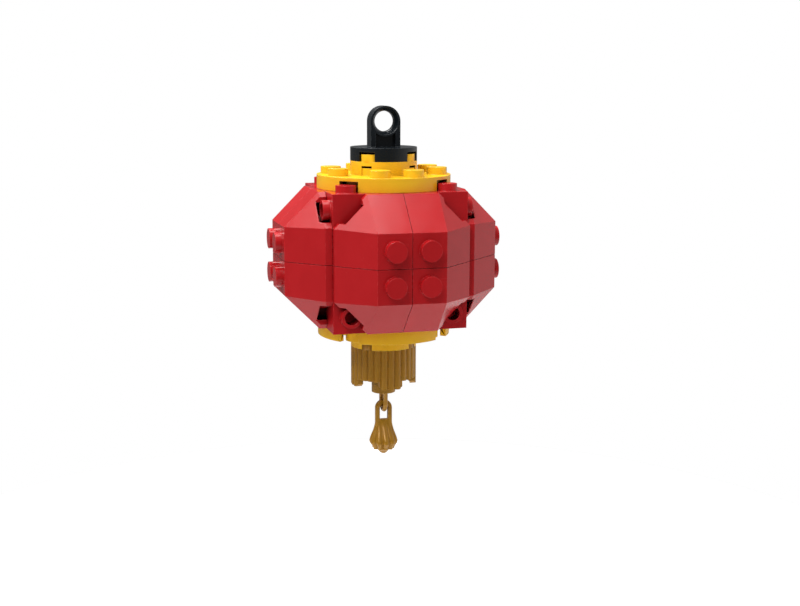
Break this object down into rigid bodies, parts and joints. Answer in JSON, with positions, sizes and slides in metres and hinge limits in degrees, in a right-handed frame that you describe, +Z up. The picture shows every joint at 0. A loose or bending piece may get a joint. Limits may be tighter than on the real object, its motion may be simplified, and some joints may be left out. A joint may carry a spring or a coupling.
{
  "type": "hanging lantern ornament",
  "caption": "Faceted red palace-lantern ornament of interlocking toy bricks, with round yellow caps, a black hanging eye, a ribbed gold barrel and a swinging tassel.",
  "frame": {"origin": "centre of the hanging eye, on the lantern's upright axis", "axes": "+Z up along the lantern's axis, -Y out of the front panel, X to the right seen from the front"},
  "size_m": [0.0546, 0.0546, 0.0853],
  "materials": {
    "red_plastic": "glossy moulded toy plastic, bright red",
    "yellow_plastic": "glossy moulded toy plastic, warm yellow-orange",
    "gold_plastic": "satin pearl plastic, dark gold",
    "black_plastic": "glossy moulded toy plastic, black"
  },
  "bodies": {
    "lantern": {"front_wedge_upper_left": "red_plastic", "front_wedge_upper_right": "red_plastic", "front_wedge_lower_left": "red_plastic", "front_wedge_lower_right": "red_plastic", "right_wedge_upper_left": "red_plastic", "right_wedge_upper_right": "red_plastic", "right_wedge_lower_left": "red_plastic", "right_wedge_lower_right": "red_plastic", "back_wedge_upper_left": "red_plastic", "back_wedge_upper_right": "red_plastic", "back_wedge_lower_left": "red_plastic", "back_wedge_lower_right": "red_plastic", "left_wedge_upper_left": "red_plastic", "left_wedge_upper_right": "red_plastic", "left_wedge_lower_left": "red_plastic", "left_wedge_lower_right": "red_plastic", "upper_corner_front_left": "red_plastic", "upper_corner_front_right": "red_plastic", "upper_corner_back_right": "red_plastic", "upper_corner_back_left": "red_plastic", "lower_corner_front_left": "red_plastic", "lower_corner_front_right": "red_plastic", "lower_corner_back_right": "red_plastic", "lower_corner_back_left": "red_plastic", "upper_side_front": "red_plastic", "upper_side_right": "red_plastic", "upper_side_back": "red_plastic", "upper_side_left": "red_plastic", "lower_side_front": "red_plastic", "lower_side_right": "red_plastic", "lower_side_back": "red_plastic", "lower_side_left": "red_plastic", "core_brick_lower": "red_plastic", "core_brick_middle": "red_plastic", "core_brick_upper": "red_plastic", "core_plate": "red_plastic", "upper_plate_large": "yellow_plastic", "upper_plate_small": "yellow_plastic", "eyelet_plate": "black_plastic", "lower_plate_large": "yellow_plastic", "lower_plate_small": "yellow_plastic", "barrel": "gold_plastic"},
    "ring": {"ring_hanger": "gold_plastic"},
    "tassel": {"tassel": "gold_plastic"}
  },
  "joints": [
    {"name": "ring_turn", "type": "hinge", "parent": "lantern", "child": "ring", "pos_m": [0, 0, -0.0658], "axis": [0, 0, 1], "continuous": true},
    {"name": "tassel_swing", "type": "hinge", "parent": "ring", "child": "tassel", "pos_m": [0, 0, -0.0684], "axis": [1, 0, 0], "range_deg": [-80, 80]}
  ]
}
